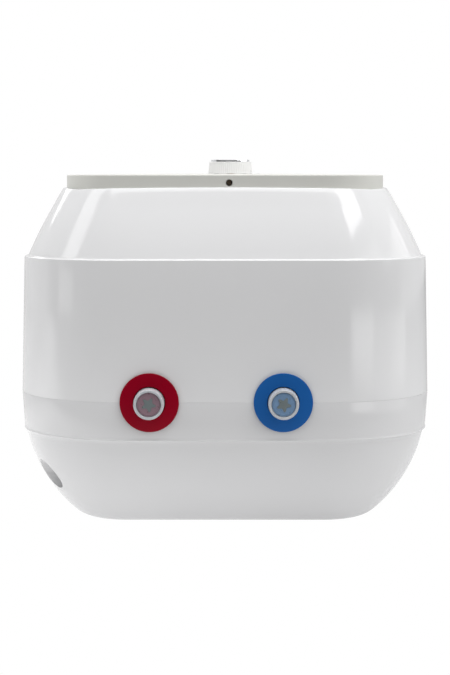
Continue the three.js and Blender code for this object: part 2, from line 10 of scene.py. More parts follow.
import bmesh
import bpy
from mathutils import Matrix, Vector
from mathutils.bvhtree import BVHTree


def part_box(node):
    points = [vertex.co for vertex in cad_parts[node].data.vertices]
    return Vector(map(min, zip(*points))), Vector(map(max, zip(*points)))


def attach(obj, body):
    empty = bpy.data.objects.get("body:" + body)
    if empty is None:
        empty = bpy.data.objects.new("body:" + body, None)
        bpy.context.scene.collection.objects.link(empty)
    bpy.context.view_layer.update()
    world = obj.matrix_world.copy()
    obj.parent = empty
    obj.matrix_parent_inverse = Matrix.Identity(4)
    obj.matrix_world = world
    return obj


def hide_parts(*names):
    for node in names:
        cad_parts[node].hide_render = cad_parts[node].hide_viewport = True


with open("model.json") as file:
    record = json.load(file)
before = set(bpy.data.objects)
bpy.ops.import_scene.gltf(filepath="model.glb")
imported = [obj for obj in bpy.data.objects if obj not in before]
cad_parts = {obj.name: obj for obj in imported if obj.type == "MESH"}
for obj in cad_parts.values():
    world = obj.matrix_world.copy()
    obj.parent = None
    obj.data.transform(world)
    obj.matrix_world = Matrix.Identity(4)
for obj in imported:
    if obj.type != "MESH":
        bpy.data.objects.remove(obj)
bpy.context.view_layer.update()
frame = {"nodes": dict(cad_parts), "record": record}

MM = 0.001
SHARP = 38  # degrees: edges that bend more than this stay crisp

# ---- sizes ------------------------------------------------------------------------------------

# Points are (half width, z), and z counts up from the flat wall face.

WALL = 2.5  # thickness of the shells and the panel
CORNER = 76.0  # corner centres of every rounded-square section
CORNER_PARTS = 18  # columns of faces round each corner
SIDE_PARTS = 10  # and along each side
BOWL = (45.2, 91.7, 114.3)  # half width and z of the flank's arc centre, and its radius
HEEL = (106.4, 20.0, 20.0)  # the same for the edge between the wall face and the flank
BOWL_FROM, BOWL_TO = -49.5, -13.0  # degrees of the flank's arc
BELT_W = 160.95  # half width of the belt at the seam
CONE_FOOT = (154.7, 207.3)
CONE_TOP = (129.6, 254.2)
CONE_BULGE = 1.05  # how far the cone's side stands proud of a straight line
SHELL_TOP = 258.0
ACCESS = 95.0  # half width of the opening under the panel
SEAM_GAP = 0.04
SEAM_EDGE = 0.3  # rounding of the rear shell's edge at the seam
PIPE_WAY_R = 14.2  # the holes for the pipes' rings
POCKET_R, POCKET_FLOOR = 11.2, 121.0  # the round pocket for the mains cable, in the left flank
PANEL_FOOT = 258.02  # the panel's lower edge at the corners
PANEL_EDGE = 269.25  # its top face at the rim, a little below the crown
PANEL_SOFT = 1.0  # rounding of its edge
HOOK_X = 60.0  # the panel's two hooks
ARCH = 1.65  # how much higher the panel's lower edge runs in the middle of each side


def low(node):
    """The lower corner of a node's box."""
    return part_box(node)[0] / MM


def high(node):
    """The upper corner of a node's box."""
    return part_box(node)[1] / MM


def middle(node):
    """The middle of a node's box."""
    return (low(node) + high(node)) / 2


PIPE_X = {"hot": middle("hot_ring").x, "cold": middle("cold_ring").x}
SEAM = middle("hot_ring").z
KNOB_X = middle("knob").x
PANEL_W = high("front_panel").x
PANEL_TOP = high("front_panel").z

# ---- mesh helpers -----------------------------------------------------------------------------


def arc(x, z, r, start, end, parts):
    """Points of a round stretch, angles in degrees from the first axis."""
    turns = [math.radians(start + (end - start) * i / parts) for i in range(parts + 1)]
    return [(x + r * math.cos(a), z + r * math.sin(a)) for a in turns]


def bowed(p0, p1, rise, parts):
    """Points from p0 to p1 whose middle stands proud of the chord by rise."""
    a, b = Vector(p0), Vector(p1)
    along = (b - a).normalized()
    crown = (a + b) / 2 + 2 * rise * Vector((along.y, -along.x))
    points = []
    for i in range(parts + 1):
        t = i / parts
        points.append(tuple(a * (1 - t) ** 2 + 2 * t * (1 - t) * crown + b * t * t))
    return points


def columns():
    """Corner-centre direction and outward direction of each column round a rounded square."""
    made = []
    for quarter in range(4):
        turn = Matrix.Rotation(quarter * math.pi / 2, 2)
        for i in range(CORNER_PARTS + 1):
            a = i / CORNER_PARTS * math.pi / 2
            made.append((turn @ Vector((1, 1)), turn @ Vector((math.cos(a), math.sin(a)))))
        for i in range(1, SIDE_PARTS):
            made.append((turn @ Vector((1 - 2 * i / SIDE_PARTS, 1)), turn @ Vector((0, 1))))
    return made


def link(name, mesh, sharp=SHARP):
    """A smooth-shaded object of a mesh, with edges sharper than the angle kept crisp."""
    obj = bpy.data.objects.new(name, mesh)
    bpy.context.scene.collection.objects.link(obj)
    crisp(mesh, sharp)
    return obj


def crisp(mesh, sharp=SHARP):
    """Smooth shading, with edges sharper than the angle kept crisp."""
    mesh.polygons.foreach_set("use_smooth", [True] * len(mesh.polygons))
    mesh.set_sharp_from_angle(angle=math.radians(sharp))
    mesh.update()


def from_bmesh(name, bm, sharp=SHARP):
    """Turns a finished bmesh into an object."""
    bmesh.ops.remove_doubles(bm, verts=bm.verts, dist=1e-7)
    bmesh.ops.recalc_face_normals(bm, faces=bm.faces)
    mesh = bpy.data.meshes.new(name)
    bm.to_mesh(mesh)
    bm.free()
    return link(name, mesh, sharp)


def ring_faces(bm, rings):
    """Quads between neighbouring rings of vertices. Points on the axis collapse by themselves."""
    for first, second in zip(rings, rings[1:] + rings[:1]):
        count = len(first)
        for i in range(count):
            corners = [first[i], first[(i + 1) % count], second[(i + 1) % count], second[i]]
            corners = [v for n, v in enumerate(corners) if v not in corners[:n]]
            if len(corners) > 2:
                bm.faces.new(corners)


def squared(name, profile, shape=None):
    """Carries a closed profile of (half width, z) points round a square with round corners.

    The function shape can give each point another height.
    """
    bm = bmesh.new()
    around = columns()
    rings = []
    for w, z in profile:
        if w < 1e-6:
            rings.append([bm.verts.new((0, 0, z * MM))] * len(around))
            continue
        centre = min(CORNER, 0.8 * w)
        ring = []
        for corner, out in around:
            p = corner * centre + out * (w - centre)
            height = shape(p.x, p.y, z) if shape else z
            ring.append(bm.verts.new(Vector((p.x, p.y, height)) * MM))
        rings.append(ring)
    ring_faces(bm, rings)
    return from_bmesh(name, bm)


def turned(name, profile, place=(0, 0, 0), axis="Z", parts=96, radius=None, sharp=SHARP):
    """Turns a closed profile of (radius, height) points about an axis through place.

    The function radius can change a point's radius by its height and its angle round the axis.
    """
    bm = bmesh.new()
    rings = []
    for r, h in profile:
        if r < 1e-6:
            rings.append([bm.verts.new((0, 0, h * MM))] * parts)
            continue
        ring = []
        for i in range(parts):
            a = 2 * math.pi * i / parts
            rr = radius(r, h, a) if radius else r
            ring.append(bm.verts.new(Vector((rr * math.cos(a), rr * math.sin(a), h)) * MM))
        rings.append(ring)
    ring_faces(bm, rings)
    bm.transform(standing(place, axis))
    return from_bmesh(name, bm, sharp)


def standing(place, axis):
    """A matrix that lays local +Z along an axis and moves the origin to place."""
    turns = {
        "Z": Matrix.Identity(4),
        "-Y": Matrix.Rotation(math.pi / 2, 4, "X"),
        "-X": Matrix.Rotation(-math.pi / 2, 4, "Y"),
    }
    return Matrix.Translation(Vector(place) * MM) @ turns[axis]


def block(bm, x0, x1, y0, y1, z0, z1):
    """Adds a box to a bmesh."""
    size = Vector((x1 - x0, y1 - y0, z1 - z0)) * MM
    centre = Vector((x0 + x1, y0 + y1, z0 + z1)) / 2 * MM
    matrix = Matrix.Translation(centre) @ Matrix.Diagonal((*size, 1))
    bmesh.ops.create_cube(bm, size=1, matrix=matrix)


def drum(bm, r, h0, h1, place, axis="Z", parts=64):
    """Adds a round bar to a bmesh."""
    lift = Matrix.Translation((0, 0, (h0 + h1) / 2 * MM))
    bmesh.ops.create_cone(
        bm,
        cap_ends=True,
        segments=parts,
        radius1=r * MM,
        radius2=r * MM,
        depth=(h1 - h0) * MM,
        matrix=standing(place, axis) @ lift,
    )


def cutter(fill):
    """A hidden object made by a function that fills a bmesh."""
    bm = bmesh.new()
    fill(bm)
    mesh = bpy.data.meshes.new("cutter")
    bm.to_mesh(mesh)
    bm.free()
    obj = bpy.data.objects.new("cutter", mesh)
    bpy.context.scene.collection.objects.link(obj)
    return obj


def carve(obj, *fills, how="DIFFERENCE"):
    """Cuts the shapes out of an object, or combines them with it, one after another."""
    for fill in fills:
        combine(obj, cutter(fill), how)
    crisp(obj.data)


def combine(obj, tool, how):
    """Applies one boolean and throws its tool away."""
    change = obj.modifiers.new("carve", "BOOLEAN")
    change.object = tool
    change.operation = how
    change.solver = "EXACT"
    bake(obj)
    bpy.data.meshes.remove(tool.data)


def bake(obj):
    """Applies every modifier of an object."""
    graph = bpy.context.evaluated_depsgraph_get()
    mesh = bpy.data.meshes.new_from_object(obj.evaluated_get(graph))
    old = obj.data
    obj.modifiers.clear()
    obj.data = mesh
    bpy.data.meshes.remove(old)
    mesh.name = obj.name


def every(edge):
    """The test that picks all edges."""
    return True


def soften(obj, chosen, width, segments=3, sharp=SHARP):
    """Rounds the edges that a test picks."""
    bm = bmesh.new()
    bm.from_mesh(obj.data)
    edges = [e for e in bm.edges if chosen(e)]
    bmesh.ops.bevel(
        bm,
        geom=edges,
        offset=width * MM,
        segments=segments,
        profile=0.5,
        affect="EDGES",
        clamp_overlap=True,
    )
    bm.to_mesh(obj.data)
    bm.free()
    crisp(obj.data, sharp)
    return obj


def keep_normals(obj, model, reach=0.02, bend=25):
    """Gives the faces that still lie on the uncut model its smooth normals back."""
    mesh = obj.data
    tree = BVHTree.FromPolygons(
        [v.co for v in model.vertices], [tuple(p.vertices) for p in model.polygons]
    )
    corner_normals = [Vector(n.vector) for n in mesh.corner_normals]
    source = [Vector(n.vector) for n in model.corner_normals]
    for polygon in mesh.polygons:
        _, normal, index, gap = tree.find_nearest(polygon.center)
        if gap > reach * MM or polygon.normal.angle(normal) > math.radians(bend):
            continue
        for loop in polygon.loop_indices:
            co = mesh.vertices[mesh.loops[loop].vertex_index].co
            face = model.polygons[index]
            near = [(model.vertices[v].co - co).length + 1e-9 for v in face.vertices]
            weights = [1 / d**2 for d in near]
            mix = Vector()
            for weight, corner in zip(weights, face.loop_indices):
                mix += source[corner] * weight
            corner_normals[loop] = mix.normalized()
    mesh.normals_split_custom_set([tuple(n) for n in corner_normals])


def stand_in(obj, slot, body, *nodes):
    """Says what a piece is: its material slot, its body and the nodes that it replaces."""
    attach(obj, body)
    if nodes:
        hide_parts(*nodes)
    obj.data.materials.clear()
    obj.data.materials.append(LOOKS[slot])
    return obj


# ---- materials --------------------------------------------------------------------------------


class Look:
    """A material under construction: a principled shader and the nodes that feed it."""

    def __init__(self, name, color, roughness, **sockets):
        self.material = bpy.data.materials.new(name)
        self.material.use_nodes = True
        self.tree = self.material.node_tree
        self.shader = self.tree.nodes["Principled BSDF"]
        self.shader.inputs["Base Color"].default_value = (*color, 1)
        self.shader.inputs["Roughness"].default_value = roughness
        for socket, value in sockets.items():
            self.shader.inputs[socket.replace("_", " ")].default_value = value
        self.place = self.add("ShaderNodeTexCoord").outputs["Object"]

    def add(self, kind, **settings):
        node = self.tree.nodes.new(kind)
        for key, value in settings.items():
            if key in node.inputs:
                node.inputs[key].default_value = value
            else:
                setattr(node, key, value)
        return node

    def join(self, out, into):
        self.tree.links.new(out, into)

    def noise(self, scale, detail=3, stretch=None, roughness=0.5):
        node = self.add("ShaderNodeTexNoise")
        node.inputs["Scale"].default_value = scale
        node.inputs["Detail"].default_value = detail
        node.inputs["Roughness"].default_value = roughness
        source = self.place
        if stretch:
            mapping = self.add("ShaderNodeMapping")
            mapping.inputs["Scale"].default_value = stretch
            self.join(self.place, mapping.inputs["Vector"])
            source = mapping.outputs["Vector"]
        self.join(source, node.inputs["Vector"])
        return node.outputs["Fac"]

    def spread(self, fac, start, end, from_min=0.3, from_max=0.7):
        node = self.add("ShaderNodeMapRange")
        node.inputs["From Min"].default_value = from_min
        node.inputs["From Max"].default_value = from_max
        node.inputs["To Min"].default_value = start
        node.inputs["To Max"].default_value = end
        self.join(fac, node.inputs["Value"])
        return node.outputs["Result"]

    def vary_color(self, fac, first, second):
        node = self.add("ShaderNodeMix", data_type="RGBA")
        self.join(fac, node.inputs[0])
        node.inputs[6].default_value = (*first, 1)
        node.inputs[7].default_value = (*second, 1)
        self.join(node.outputs[2], self.shader.inputs["Base Color"])

    def vary_roughness(self, fac, start, end):
        self.join(self.spread(fac, start, end), self.shader.inputs["Roughness"])

    def bump(self, fac, strength, depth):
        node = self.add("ShaderNodeBump")
        node.inputs["Strength"].default_value = strength
        node.inputs["Distance"].default_value = depth * MM
        self.join(fac, node.inputs["Height"])
        previous = self.shader.inputs["Normal"]
        if previous.is_linked:
            self.join(previous.links[0].from_socket, node.inputs["Normal"])
        self.join(node.outputs["Normal"], previous)


def scaled(color, factor):
    """A colour made lighter or darker."""
    return tuple(c * factor for c in color)


def moulded(name, color, roughness, grain=0.0, **sockets):
    """Injection-moulded plastic: faint flow shading, uneven gloss and a fine surface."""
    look = Look(name, color, roughness, **sockets)
    look.vary_color(look.spread(look.noise(9), 0, 1), scaled(color, 0.985), color)
    look.vary_roughness(look.noise(55, 4), roughness * 0.85, roughness * 1.2)
    look.bump(look.noise(120, 2), 0.05, 0.1)
    if grain:
        look.bump(look.noise(2600, 2), grain, 0.12)
    return look.material


def metal(name, color, roughness, blotch=0.9):
    """Rolled or drawn metal: streaks along one way and slightly uneven colour."""
    stretch = (1, 1, 30)
    look = Look(name, color, roughness, Metallic=1.0)
    look.vary_color(look.spread(look.noise(40, 5), 0, 1), scaled(color, blotch), color)
    look.vary_roughness(look.noise(300, 3, stretch), roughness * 0.7, roughness * 1.4)
    look.bump(look.noise(500, 2, stretch), 0.15, 0.05)
    return look.material


def chrome(name):
    """Bright plating, with a slightly uneven gloss."""
    look = Look(name, (0.86, 0.87, 0.88), 0.06, Metallic=1.0)
    look.vary_roughness(look.noise(90, 3), 0.04, 0.09)
    look.bump(look.noise(60, 2), 0.03, 0.05)
    return look.material


def zinc(name):
    """Zinc-plated steel: a crystalline bloom over a satin metal."""
    look = Look(name, (0.62, 0.64, 0.66), 0.35, Metallic=1.0)
    cells = look.add("ShaderNodeTexVoronoi")
    cells.inputs["Scale"].default_value = 220
    look.join(look.place, cells.inputs["Vector"])
    bloom = look.spread(cells.outputs["Distance"], 0, 1, 0, 0.6)
    look.vary_color(bloom, (0.52, 0.54, 0.57), (0.7, 0.72, 0.73))
    look.vary_roughness(look.noise(180, 4), 0.28, 0.45)
    look.bump(look.noise(700, 3), 0.12, 0.04)
    return look.material


def milky(name, color=(0.62, 0.64, 0.67)):
    """Translucent polyethylene."""
    look = Look(name, color, 0.32, Transmission_Weight=0.2, IOR=1.5)
    look.vary_color(look.spread(look.noise(160, 3), 0, 1), scaled(color, 0.92), color)
    look.vary_roughness(look.noise(300, 3), 0.25, 0.42)
    look.bump(look.noise(900, 2), 0.12, 0.08)
    return look.material


def enamel(name):
    """Dark blue glass enamel with pale specks."""
    ground = (0.02, 0.035, 0.075)
    look = Look(name, ground, 0.22, Coat_Weight=0.6, Coat_Roughness=0.12)
    specks = look.spread(look.noise(900, 2), 0, 1, 0.6, 0.75)
    look.vary_color(specks, ground, (0.2, 0.25, 0.33))
    look.bump(look.noise(220, 3), 0.2, 0.2)
    return look.material


def foam(name):
    """Moulded polystyrene beads."""
    look = Look(name, (0.86, 0.82, 0.66), 0.85)
    beads = look.add("ShaderNodeTexVoronoi")
    beads.inputs["Scale"].default_value = 320
    look.join(look.place, beads.inputs["Vector"])
    # Darker towards each bead's edge: painted shade in the grooves between the beads.
    edges = look.spread(beads.outputs["Distance"], 0, 1, 0.2, 0.8)
    look.vary_color(edges, (0.88, 0.85, 0.72), (0.66, 0.62, 0.48))
    look.bump(beads.outputs["Distance"], 0.6, -0.8)
    return look.material


def rubber(name, color=(0.02, 0.02, 0.021), roughness=0.65):
    """Rubber, or the soft plastic round a wire."""
    look = Look(name, color, roughness)
    look.vary_color(look.spread(look.noise(60, 4), 0, 1), color, scaled(color, 1.6))
    look.vary_roughness(look.noise(400, 3), roughness * 0.8, min(1, roughness * 1.2))
    look.bump(look.noise(1200, 3), 0.3, 0.08)
    return look.material


LOOKS = {
    "white_abs": moulded("white_abs", (0.715, 0.715, 0.722), 0.1),
    # A darker copy of white_abs for the casing's rear half: painted shade on the bowl and the lower
    # belt.
    "rear_abs_painted_shade": moulded("rear_abs_painted_shade", (0.65, 0.65, 0.657), 0.1),
    "grey_panel": moulded("grey_panel", (0.65, 0.65, 0.612), 0.36, grain=0.25),
    "knob_plastic": moulded("knob_plastic", (0.79, 0.79, 0.785), 0.3, grain=0.1),
    "red_plastic": moulded("red_plastic", (0.25, 0.001, 0.012), 0.2, Specular_IOR_Level=0.15),
    "blue_plastic": moulded("blue_plastic", (0.013, 0.1, 0.335), 0.2, Specular_IOR_Level=0.15),
    "ivory_plastic": moulded("ivory_plastic", (0.75, 0.7, 0.58), 0.4, grain=0.1),
    "black_plastic": moulded("black_plastic", (0.03, 0.03, 0.032), 0.4, grain=0.2),
    "amber_lens": moulded("amber_lens", (0.8, 0.25, 0.03), 0.12, Transmission_Weight=0.7),
    "milky_plastic": milky("milky_plastic"),
    # The discs (tinted red and blue) and the star are the same milky plastic as the sleeve, given dark
    # colours: painted shade of the pipe's dark bore behind the thin disc.
    "hot_disc": milky("hot_disc", (0.31, 0.2, 0.24)),
    "cold_disc": milky("cold_disc", (0.2, 0.33, 0.52)),
    "cap_star": milky("cap_star", (0.18, 0.215, 0.22)),
    "chrome_trim": chrome("chrome_trim"),
    "zinc_steel": zinc("zinc_steel"),
    "dark_steel": metal("dark_steel", (0.3, 0.24, 0.18), 0.5),
    "stainless": metal("stainless", (0.68, 0.69, 0.7), 0.3),
    "copper": metal("copper", (0.78, 0.42, 0.27), 0.32, blotch=0.75),
    "magnesium": metal("magnesium", (0.5, 0.51, 0.51), 0.55, blotch=0.7),
    "enamelled_steel": enamel("enamelled_steel"),
    "foam": foam("foam"),
    "black_rubber": rubber("black_rubber"),
    "brown_wire": rubber("brown_wire", (0.13, 0.05, 0.02), 0.4),
    "blue_wire": rubber("blue_wire", (0.02, 0.09, 0.36), 0.4),
    "green_wire": rubber("green_wire", (0.12, 0.35, 0.03), 0.4),
}


def dress_frame():
    """Gives every node of the frame its slot's material."""
    for part in frame["record"]["subparts"]:
        materials = frame["nodes"][part["node"]].data.materials
        materials.clear()
        materials.append(LOOKS[part["material_slot"]])


# ---- casing -----------------------------------------------------------------------------------


def side_arch(x, y):
    """1 in the middle of each side, falling to 0 on the diagonals."""
    away = min(abs(x), abs(y)) / max(abs(x), abs(y), 1)
    return 1 - away**2


def bowl_outline(depth, parts):
    """The wall face, the heel and the flank, set in from the outside by depth."""
    heel = arc(HEEL[0], HEEL[1], HEEL[2] - depth, -90, BOWL_FROM, parts)
    flank = arc(BOWL[0], BOWL[1], BOWL[2] - depth, BOWL_FROM, BOWL_TO, 2 * parts)[1:]
    flat = [(0, depth), (30, depth), (60, depth), (90, depth)]
    return flat + heel + flank


def pipe_ways(bm):
    """The two round holes on the seam, which a ring fills on each pipe."""
    for x in PIPE_X.values():
        drum(bm, PIPE_WAY_R, 150, 175, (x, 0, SEAM), "-Y")


# The step at the belt's foot, from the bowl up: a small bead with a hollow above it.
STEP = [(156.8, 66.8), (157.25, 68.0), (157.75, 69.1), (158.2, 69.9), (158.7, 70.35), (159.3, 70.6)]
STEP += [(159.55, 71.0), (159.5, 71.5), (159.25, 72.0), (159.25, 72.6), (159.35, 73.6)]


def rear_outline():
    """The bowl, the step and the lower belt as a closed wall, thinner where it meets the front."""
    top = SEAM - SEAM_GAP / 2
    rim = arc(BELT_W - SEAM_EDGE, top - SEAM_EDGE, SEAM_EDGE, 4, 90, 4)
    inside = [(158.1, top), (158.1, 104), (156.9, 104), (156.9, 73), (154.6, 66.6)]
    return bowl_outline(0, 12) + STEP + rim + inside + bowl_outline(WALL, 5)[::-1]


def rear_casing():
    """The casing's rear half, with the cable pocket in its flank and the opening for the wall strap."""
    obj = squared("casing_rear", rear_outline())
    model = obj.data.copy()
    grommet = middle("cable_grommet")
    spot = (0, grommet.y, grommet.z)
    floor = POCKET_FLOOR
    rim_r = POCKET_R * MM

    def around_cup(bm):
        drum(bm, POCKET_R + WALL, floor - WALL, 160, spot, "-X", 96)

    def pocket(bm):
        drum(bm, POCKET_R, floor, 180, spot, "-X", 96)

    def gland_way(bm):
        drum(bm, 6.3, floor - 9, floor + 1, spot, "-X")

    def window(bm):
        a, b = low("wall_bracket"), high("wall_bracket")
        block(bm, a.x - 1, b.x + 1, a.y - 1, b.y + 1, -1, 4)

    # The pocket has a wall of its own: a cup that ends just inside the flank's face.
    cup = squared("cup", [*bowl_outline(0.4, 8), (0, 66)])
    carve(cup, around_cup, how="INTERSECT")
    combine(obj, cup, "UNION")
    carve(obj, pocket, gland_way, window, pipe_ways)

    def on_rim(edge):
        for v in edge.verts:
            off = math.hypot(v.co.y - grommet.y * MM, v.co.z - grommet.z * MM)
            if abs(off - rim_r) > 0.03 * MM or v.co.x > -(floor + 0.5) * MM:
                return False
        faces = edge.link_faces
        return len(faces) == 2 and faces[0].normal.angle(faces[1].normal, 0) > 0.5

    soften(obj, on_rim, 0.7)
    keep_normals(obj, model)
    stand_in(obj, "white_abs", "root", "rear_shell")
    # The rear half gets the darker copy of the white plastic: painted shade.
    obj.data.materials[0] = LOOKS["rear_abs_painted_shade"]


def front_outline():
    """The belt, the ledge, the cone and its brow as a closed wall round the opening for access."""
    bottom = SEAM + SEAM_GAP / 2
    rim = [(160.8, bottom), (160.88, bottom + 0.08)]
    shoulder = arc(157.65, 205.5, 0.45, 2, 88, 5)
    ledge = [(155.6, 206.0), (155.1, 206.3)]
    cone = bowed(CONE_FOOT, CONE_TOP, CONE_BULGE, 14)
    brow = arc(126.6, SHELL_TOP - 1.0, 1.0, 33, 90, 6)
    top = [(110, SHELL_TOP), (ACCESS, SHELL_TOP)]
    outside = rim + [(159.6, 150)] + shoulder + ledge + cone + brow + top
    inside = [(ACCESS, SHELL_TOP - WALL), (125.2, SHELL_TOP - WALL)]
    inside += bowed((126.8, 253.4), (151.9, 206.3), -CONE_BULGE, 6)
    inside += [(153.4, 203.4), (155.6, 201.5), (158.45, bottom)]
    return outside + inside


def front_casing():
    """The casing's front half, whose top edge rises towards the middle of each side."""

    def crowned(x, y, z):
        return z + ARCH * side_arch(x, y) * min(1, max(0, (z - 245) / 12))

    obj = squared("casing_front", front_outline(), crowned)
    model = obj.data.copy()
    screw = middle("panel_screw")

    def lug(bm):
        block(bm, screw.x - 6, screw.x + 6, -116.5, -109, SHELL_TOP - 1, 265.7)

    def pilot(bm):
        drum(bm, 1.4, 104, 118, (screw.x, 0, screw.z), "-Y", 24)

    def hook_slots(bm):
        for x in (-HOOK_X, HOOK_X):
            block(bm, x - 10, x + 10, 110, 117, 250, 262)

    carve(obj, lug, how="UNION")
    carve(obj, pilot, hook_slots, pipe_ways)
    keep_normals(obj, model)
    return stand_in(obj, "white_abs", "root", "front_shell")


def cover_outline():
    """The panel's skirt, its rounded edge and its face as a closed wall."""
    soft, inner = PANEL_SOFT, PANEL_W - WALL
    flats = [PANEL_W - soft - 0.5, 115, 105, 95, 80, 65, 50, 35, 20, 10]
    profile = [(PANEL_W - 0.12, PANEL_FOOT), (PANEL_W, PANEL_FOOT + 0.12)]
    profile += arc(PANEL_W - soft, PANEL_EDGE - soft, soft, 0, 86, 10)
    profile += [(w, PANEL_EDGE) for w in flats] + [(0, PANEL_TOP), (0, PANEL_TOP - WALL)]
    profile += [(95, PANEL_EDGE - WALL + 0.3), (inner - soft, PANEL_EDGE - WALL)]
    profile += [(inner, PANEL_EDGE - WALL - soft), (inner, PANEL_FOOT)]
    return profile


def cover_height(x, y, z):
    """Lets the lower edge follow the shell's arch and raises the face to a faint dome."""
    if z < PANEL_FOOT + 1:
        return z + ARCH * side_arch(x, y)
    if z > PANEL_EDGE - 0.01:
        rise = (1 - (x / PANEL_W) ** 2) * (1 - (y / PANEL_W) ** 2)
        return PANEL_EDGE + (PANEL_TOP - PANEL_EDGE) * rise
    return z


def thermostat_screws():
    """The places of the thermostat's two screws, either side of the knob's axis."""
    head_r = 3.1
    away = abs(high("thermostat_screw_1").x - head_r - KNOB_X)
    return [(KNOB_X - away, 0, 0), (KNOB_X + away, 0, 0)]


def add_cover_mounts(obj, screw):
    """Bosses for the panel's screw and the thermostat's, and two hooks with barbs."""

    def boss(bm):
        drum(bm, 4.4, 117, 122.5, (screw.x, 0, screw.z), "-Y", 40)

    def thermostat_bosses(bm):
        for place in thermostat_screws():
            drum(bm, 4, 262.3, 268, place, "Z", 32)

    def hooks(bm):
        for x in (-HOOK_X, HOOK_X):
            block(bm, x - 9, x + 9, 111, 113.5, 252, 267.5)

    def barbs(bm):
        for x in (-HOOK_X, HOOK_X):
            block(bm, x - 9, x + 9, 112, 116.5, 252, 254.8)

    carve(obj, boss, thermostat_bosses, hooks, barbs, how="UNION")


def cut_cover_holes(obj, screw):
    """Holes for the panel's screw, the knob's spindle, the indicator and the thermostat's screws."""
    lens = middle("indicator_lens")

    def screw_way(bm):
        drum(bm, 2.6, 118.5, 130, (screw.x, 0, screw.z), "-Y", 48)

    def screw_shank(bm):
        drum(bm, 1.55, 110, 119, (screw.x, 0, screw.z), "-Y", 24)

    def round_ways(bm):
        drum(bm, 4.2, 260, 275, (KNOB_X, 0, 0), "Z", 40)
        drum(bm, 3.9, 260, 275, (lens.x, lens.y, 0), "Z", 40)
        for place in thermostat_screws():
            drum(bm, 2.2, 260, 275, place, "Z", 24)

    carve(obj, screw_way, screw_shank, round_ways)


def front_cover():
    """The panel: a square cap with a faintly domed face, held by two hooks and one screw."""
    obj = squared("panel_cover", cover_outline(), cover_height)
    model = obj.data.copy()
    screw = middle("panel_screw")
    add_cover_mounts(obj, screw)
    cut_cover_holes(obj, screw)
    keep_normals(obj, model)
    return stand_in(obj, "grey_panel", "root", "front_panel")


# ---- knob -------------------------------------------------------------------------------------

KNOB_RIBS = 64
RIB_DEPTH = 0.2  # of the fine ribs on the knob's side
DIAL_DOTS = 11
DIAL_R = 24.0  # radius of the ring of dots
KNOB_TRAVEL = 270  # degrees


def knob_body():
    """White knob with fine upright ribs, a rim round the chrome insert, and a hollow underside."""
    a, b = low("knob"), high("knob")
    bottom, top = a.z - 0.15, b.z
    r, r_top = (b.y - a.y) / 2, (b.y - a.y) / 2 - 0.85

    def ribbed(radius, height, turn):
        if radius < r_top - 0.35 or height < bottom + 0.5 or height > top - 0.7:
            return radius
        return radius - RIB_DEPTH * abs(math.sin(turn * KNOB_RIBS / 2)) ** 0.8

    rise = top - 1.4 - bottom
    side = [(r + (r_top - r) * i / 6, bottom + 0.6 + rise * i / 6) for i in range(7)]
    brow = arc(r_top - 0.7, top - 0.7, 0.7, 0, 90, 4)
    profile = [(r - 2, bottom), (r - 0.1, bottom), (r, bottom + 0.1)] + side + brow
    profile += [(16.35, top), (16.3, top - 0.2), (16.3, top - 1), (0, top - 1)]
    profile += [(0, top - 2.6), (3.3, top - 2.6), (3.3, bottom + 0.6), (5.2, bottom + 0.6)]
    profile += [(5.2, top - 3.5), (r_top - 2, top - 3.5)]
    obj = turned("knob_body", profile, (KNOB_X, 0, 0), parts=KNOB_RIBS * 8, radius=ribbed)
    return stand_in(obj, "knob_plastic", "knob", "knob")


def knob_insert():
    """Chrome insert: a bright rounded rim and a shallow dome."""
    a, b = low("knob_cap"), high("knob_cap")
    r = (b.y - a.y) / 2
    edge = b.z - 0.12
    rim = arc(r - 0.12, edge - 0.12, 0.12, 0, 90, 4)
    dome = bowed((r - 0.4, edge), (0, b.z), 0.03, 18)
    profile = [(0, a.z), (r, a.z)] + rim + dome
    obj = turned("knob_insert", profile, (KNOB_X, 0, 0), parts=128)
    return stand_in(obj, "chrome_trim", "knob", "knob_cap")


def knob_pointer():
    """A short raised mark on the knob's rim that shows where it is set."""
    b = high("knob")
    bm = bmesh.new()
    block(bm, KNOB_X - 0.6, KNOB_X + 0.6, 15.6, 17.25, b.z - 0.1, b.z + 0.35)
    obj = from_bmesh("knob_pointer", bm)
    soften(obj, every, 0.2)
    return stand_in(obj, "red_plastic", "knob")


def dial_dots():
    """Dots of growing size on the panel round the knob, over the knob's travel."""
    bm = bmesh.new()
    for i in range(DIAL_DOTS):
        turn = math.radians(KNOB_TRAVEL * (0.5 - i / (DIAL_DOTS - 1)))
        place = (KNOB_X - DIAL_R * math.sin(turn), DIAL_R * math.cos(turn), 0)
        drum(bm, 0.7 + 0.08 * i, PANEL_TOP - 0.6, PANEL_TOP, place, "Z", 24)
    obj = from_bmesh("dial_dots", bm)
    return stand_in(obj, "black_plastic", "root")


# ---- pipes, rings and caps --------------------------------------------------------------------


def collar(side):
    """Coloured ring: a shallow cone with rounded edges and a sleeve through the casing."""
    a, b = low(f"{side}_ring"), high(f"{side}_ring")
    r = (b.x - a.x) / 2
    front, back = -a.y, -b.y + 3.5
    hole = 11.9
    edge = front - 0.8
    profile = [(hole, back - 3.5), (13.6, back - 3.5), (13.6, back), (r - 0.2, back), (r, back + 0.2)]
    profile += arc(r - 0.5, edge - 0.45, 0.5, 0, 86, 5)
    profile += [(r - 0.5, edge + 0.05), (hole + 0.5, front - 0.02)]
    profile += arc(hole + 0.5, front - 0.52, 0.5, 92, 180, 5)
    obj = turned(f"{side}_collar", profile, (PIPE_X[side], 0, SEAM), "-Y", 128)
    slot = "red_plastic" if side == "hot" else "blue_plastic"
    return stand_in(obj, slot, "root", f"{side}_ring")


THREAD_PITCH = 1.814
CAP_SINK = 1.2  # how far the cap's disc lies below its rim
CAP_DISC = 9.3


